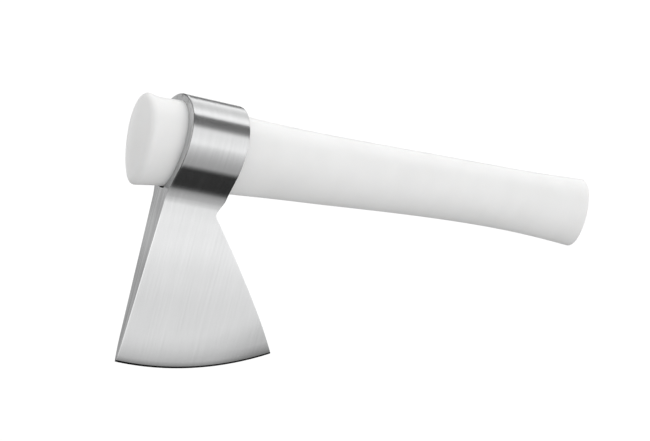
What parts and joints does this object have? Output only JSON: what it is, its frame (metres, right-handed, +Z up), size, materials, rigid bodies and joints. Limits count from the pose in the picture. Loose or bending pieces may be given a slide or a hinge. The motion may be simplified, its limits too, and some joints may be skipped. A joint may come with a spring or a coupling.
{
  "type": "butcher's ring hatchet",
  "caption": "One-hand hatchet: a wedge-shaped stainless blade under a teardrop ring eye, on a drawn-through white plastic handle with an end knob.",
  "frame": {"origin": "middle of the grip, inside the handle, level with the ring's widest point", "axes": "+X along the handle from the head to the butt, +Z up with the blade pointing down, +Y across the blade's thickness"},
  "size_m": [0.3532, 0.036, 0.1631],
  "materials": {
    "steel": "stainless steel, finely brushed down the blade, with a ground cutting bevel",
    "white_plastic": "white food-grade plastic, smooth, with a soft sheen"
  },
  "bodies": {
    "root": {"head": "steel", "handle": "white_plastic"}
  },
  "joints": []
}
